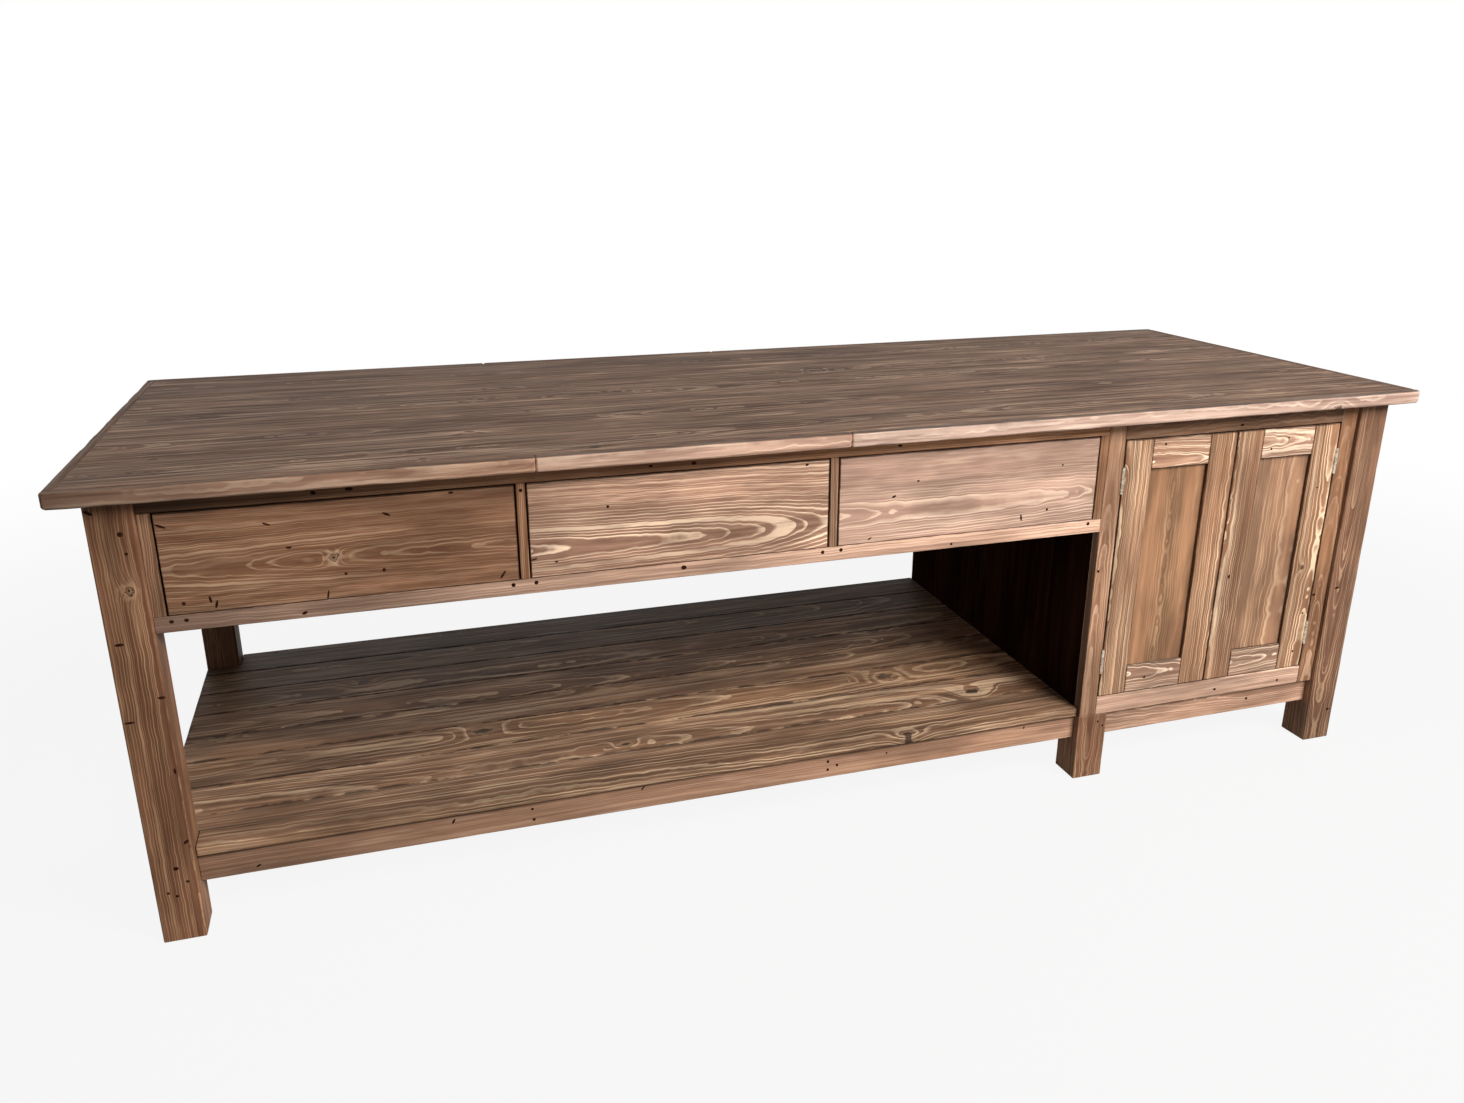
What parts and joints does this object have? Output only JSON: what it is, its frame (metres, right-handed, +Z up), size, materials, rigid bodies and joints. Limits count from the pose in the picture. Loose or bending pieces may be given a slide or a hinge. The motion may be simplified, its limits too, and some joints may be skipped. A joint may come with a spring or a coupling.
{
  "type": "kitchen island unit",
  "caption": "Long stained-pine kitchen island: plank worktop over inset drawers, a panelled double cupboard at the right and an open pot shelf near the floor.",
  "frame": {"origin": "on the floor under the middle of the worktop", "axes": "+X towards the cupboard end, +Y towards the back, +Z up"},
  "size_m": [2.816, 1, 0.9],
  "materials": {
    "worktop_pine": "satin brown-grey stain",
    "edge_pine": "worn stain, pale at the arris",
    "post_pine": "matt brown stain",
    "frame_pine": "matt brown stain",
    "drawer_front_pine": "matt brown stain with pale grain",
    "door_pine": "matt brown stain with pale grain",
    "side_pine": "matt dark stain",
    "shelf_pine": "matt greyish brown stain",
    "inner_pine": "unfinished pine",
    "hinge_steel": "bright zinc plate",
    "screw_steel": "zinc plate",
    "catch_plastic": "brown plastic"
  },
  "bodies": {
    "root": {"top_boards": "worktop_pine", "top_edge_strips": "edge_pine", "top_screws": "screw_steel", "post_front_left": "post_pine", "post_front_right": "post_pine", "post_back_left": "post_pine", "post_back_right": "post_pine", "middle_legs": "post_pine", "drawer_frame_top_rail": "frame_pine", "drawer_frame_bottom_rail": "frame_pine", "drawer_frame_end_stiles": "frame_pine", "drawer_frame_dividers": "frame_pine", "cabinet_frame_stiles": "frame_pine", "cabinet_frame_top_rail": "frame_pine", "cabinet_frame_bottom_rail": "frame_pine", "back_apron": "side_pine", "left_apron": "side_pine", "cabinet_left_side": "side_pine", "cabinet_right_side": "side_pine", "cabinet_back": "side_pine", "cabinet_floor": "inner_pine", "cabinet_shelf": "inner_pine", "shelf_pins": "screw_steel", "low_rail_front": "frame_pine", "low_rail_back": "frame_pine", "low_rail_left": "frame_pine", "plinth_rails": "frame_pine", "pot_shelf_boards": "shelf_pine", "pot_shelf_bearers": "inner_pine", "drawer_runners": "inner_pine", "drawer_guides_and_stops": "inner_pine", "drawer_kickers": "inner_pine", "hinge_frame_leaves": "hinge_steel", "hinge_pins": "hinge_steel", "hinge_screws_frame": "screw_steel", "catches": "catch_plastic"},
    "drawer_left": {"drawer_left_front": "drawer_front_pine", "drawer_left_sides": "inner_pine", "drawer_left_back": "inner_pine", "drawer_left_bottom": "inner_pine"},
    "drawer_middle": {"drawer_middle_front": "drawer_front_pine", "drawer_middle_sides": "inner_pine", "drawer_middle_back": "inner_pine", "drawer_middle_bottom": "inner_pine"},
    "drawer_right": {"drawer_right_front": "drawer_front_pine", "drawer_right_sides": "inner_pine", "drawer_right_back": "inner_pine", "drawer_right_bottom": "inner_pine"},
    "left_door": {"left_door_stiles": "door_pine", "left_door_rails": "door_pine", "left_door_panel": "door_pine", "hinge_leaves_left_door": "hinge_steel", "hinge_screws_left_door": "screw_steel", "strike_left_door": "hinge_steel"},
    "right_door": {"right_door_stiles": "door_pine", "right_door_rails": "door_pine", "right_door_panel": "door_pine", "hinge_leaves_right_door": "hinge_steel", "hinge_screws_right_door": "screw_steel", "strike_right_door": "hinge_steel"}
  },
  "joints": [
    {"name": "drawer_left_slide", "type": "slide", "parent": "root", "child": "drawer_left", "axis": [0, -1, 0], "range_m": [0, 0.45]},
    {"name": "drawer_middle_slide", "type": "slide", "parent": "root", "child": "drawer_middle", "axis": [0, -1, 0], "range_m": [0, 0.45]},
    {"name": "drawer_right_slide", "type": "slide", "parent": "root", "child": "drawer_right", "axis": [0, -1, 0], "range_m": [0, 0.45]},
    {"name": "left_door_hinge", "type": "hinge", "parent": "root", "child": "left_door", "pos_m": [0.661, -0.455, 0.5], "axis": [0, 0, -1], "range_deg": [0, 100]},
    {"name": "right_door_hinge", "type": "hinge", "parent": "root", "child": "right_door", "pos_m": [1.238, -0.455, 0.5], "axis": [0, 0, 1], "range_deg": [0, 100]}
  ]
}
